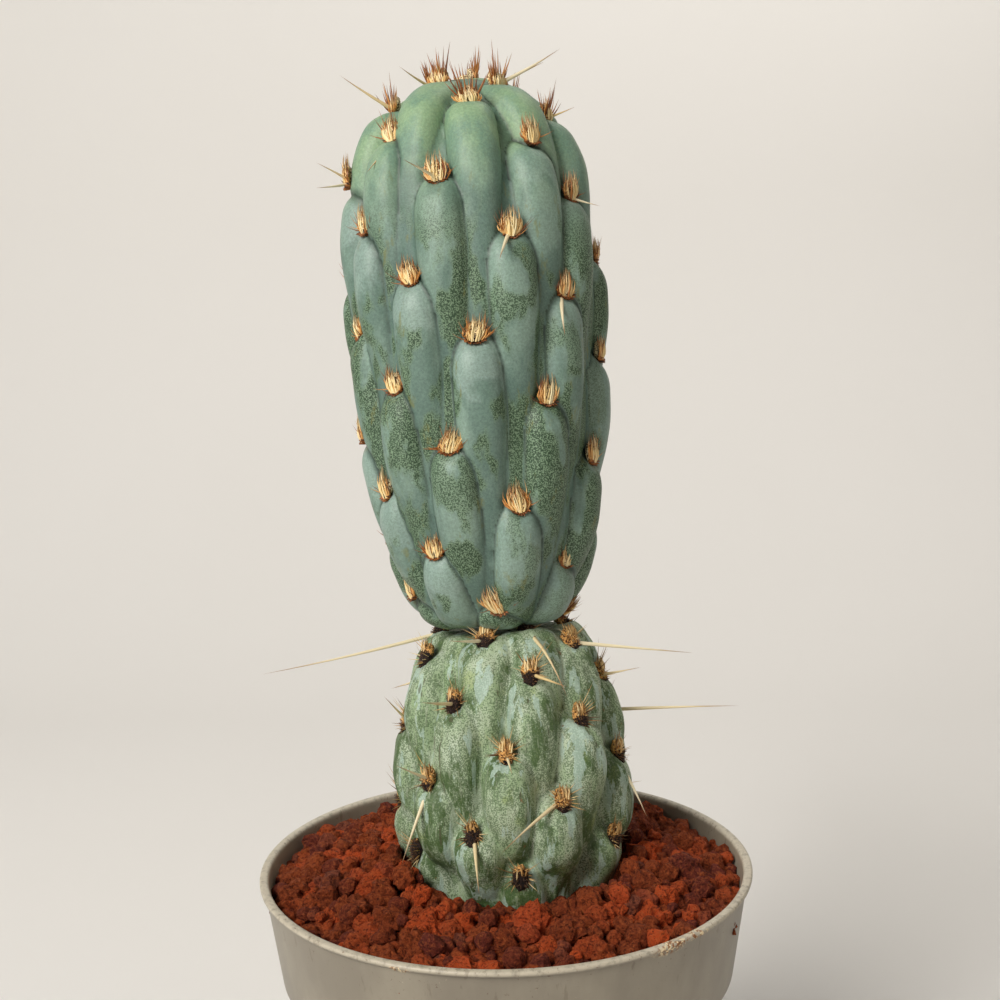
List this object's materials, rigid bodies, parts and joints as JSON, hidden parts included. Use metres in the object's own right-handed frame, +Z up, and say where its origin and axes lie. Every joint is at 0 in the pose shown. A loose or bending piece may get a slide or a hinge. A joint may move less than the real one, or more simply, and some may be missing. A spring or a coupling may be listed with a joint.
{
  "type": "potted tephrocactus miquelii",
  "caption": "Cactus with a tall tubercled stem segment grown from the top of an older one, rooted in a round plastic pot dressed with red lava grit.",
  "frame": {"origin": "centre of the pot's base, on the ground", "axes": "+Z up along the pot's axis, -Y towards the front of the plant, +X to its right"},
  "size_m": [0.1046, 0.105, 0.2615],
  "materials": {
    "pot": "matte moulded plastic, dusty",
    "growing_mix": "loose crumbly mix",
    "lava_grit": "rough porous stone",
    "stem_lower": "weathered waxy skin",
    "stem_upper": "waxy skin with blue bloom"
  },
  "bodies": {
    "root": {"pot": "pot", "growing_mix": "growing_mix", "lava_grit": "lava_grit", "stem_lower": "stem_lower", "stem_upper": "stem_upper"}
  },
  "joints": []
}
